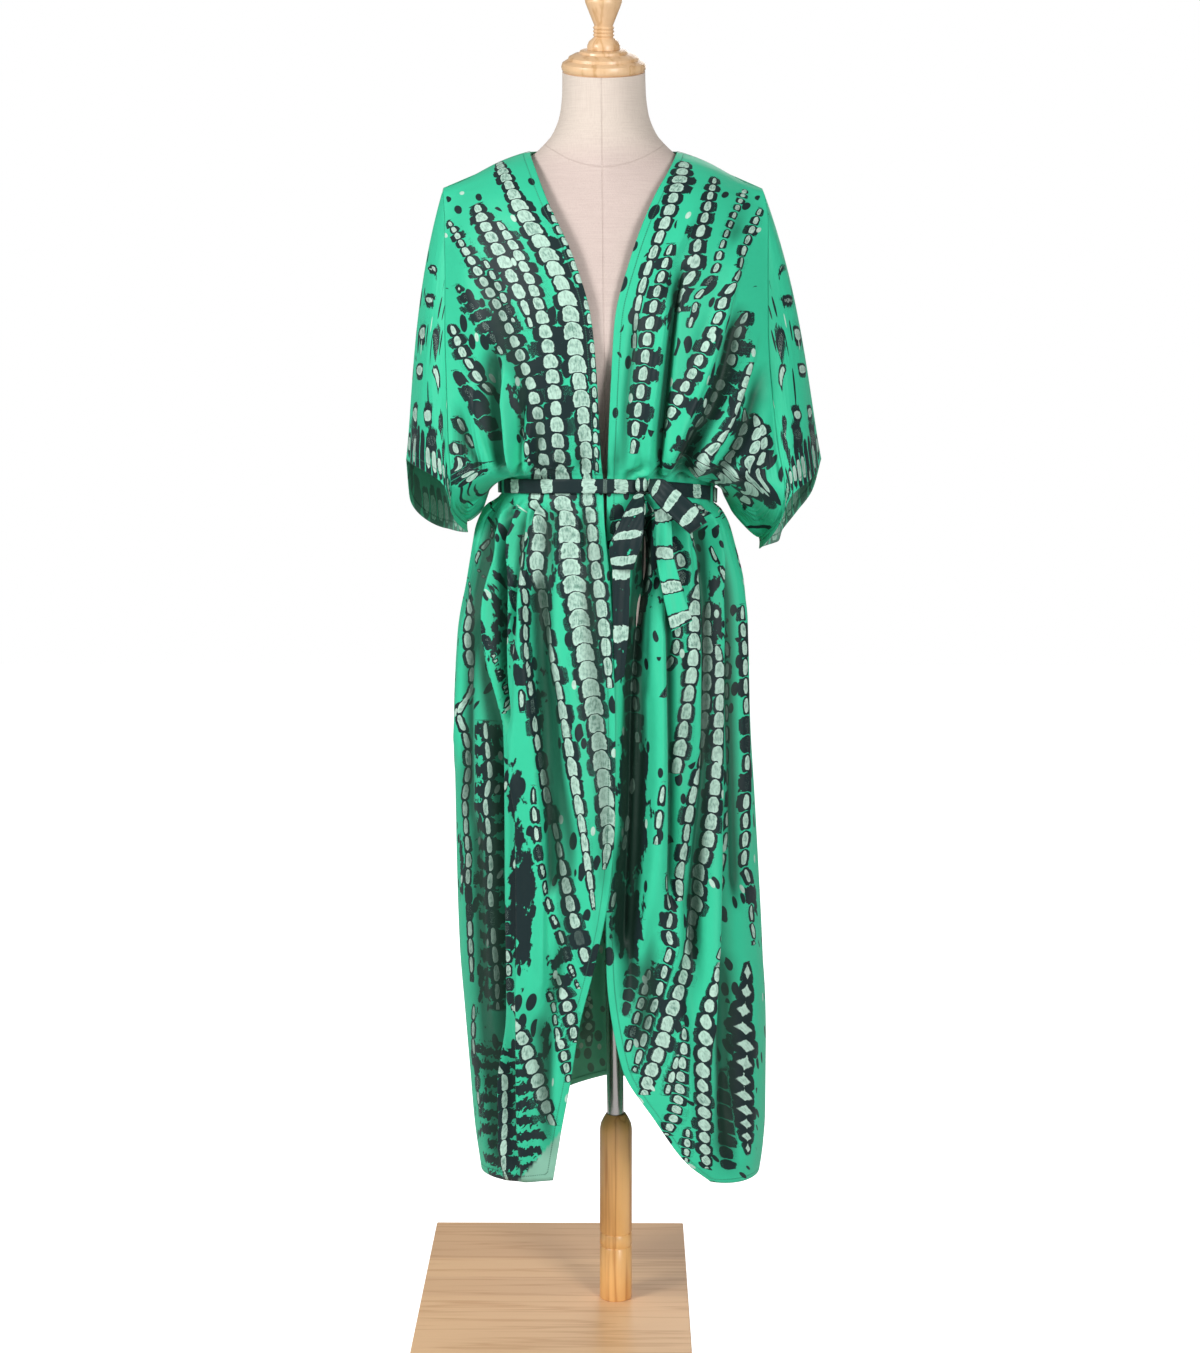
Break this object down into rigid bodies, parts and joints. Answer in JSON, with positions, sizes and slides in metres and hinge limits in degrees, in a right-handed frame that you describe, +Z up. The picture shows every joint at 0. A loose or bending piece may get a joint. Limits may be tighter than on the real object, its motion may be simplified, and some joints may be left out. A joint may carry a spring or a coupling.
{
  "type": "kimono cardigan on a dress form",
  "caption": "Long open kimono cardigan with wide short sleeves and a tied belt, in green tie-dye print, worn by a limbless dress form on a pole and a wooden base.",
  "frame": {"origin": "on the floor under the stand's column, on the underside of the base board", "axes": "+Z up, -Y the garment's front, +X to the viewer's right"},
  "size_m": [0.4822, 0.434, 1.5693],
  "materials": {
    "print_cloth": "thin smooth woven cloth, bright green with a dark and pale tie-dye print, slight sheen",
    "linen": "fine natural linen drawn tight over the form",
    "pine": "clear varnished pine",
    "pole_steel": "satin"
  },
  "bodies": {
    "root": {"back": "print_cloth", "front_left": "print_cloth", "front_right": "print_cloth", "sleeve_left": "print_cloth", "sleeve_right": "print_cloth", "belt": "print_cloth", "belt_knot": "print_cloth", "bow_loop_left": "print_cloth", "bow_loop_right": "print_cloth", "belt_end_left": "print_cloth", "belt_end_right": "print_cloth", "belt_carrier_left": "print_cloth", "belt_carrier_right": "print_cloth", "form_torso": "linen", "neck_cap": "pine", "finial": "pine", "stand_column": "pine", "stand_base": "pine", "stand_pole": "pole_steel"}
  },
  "joints": []
}
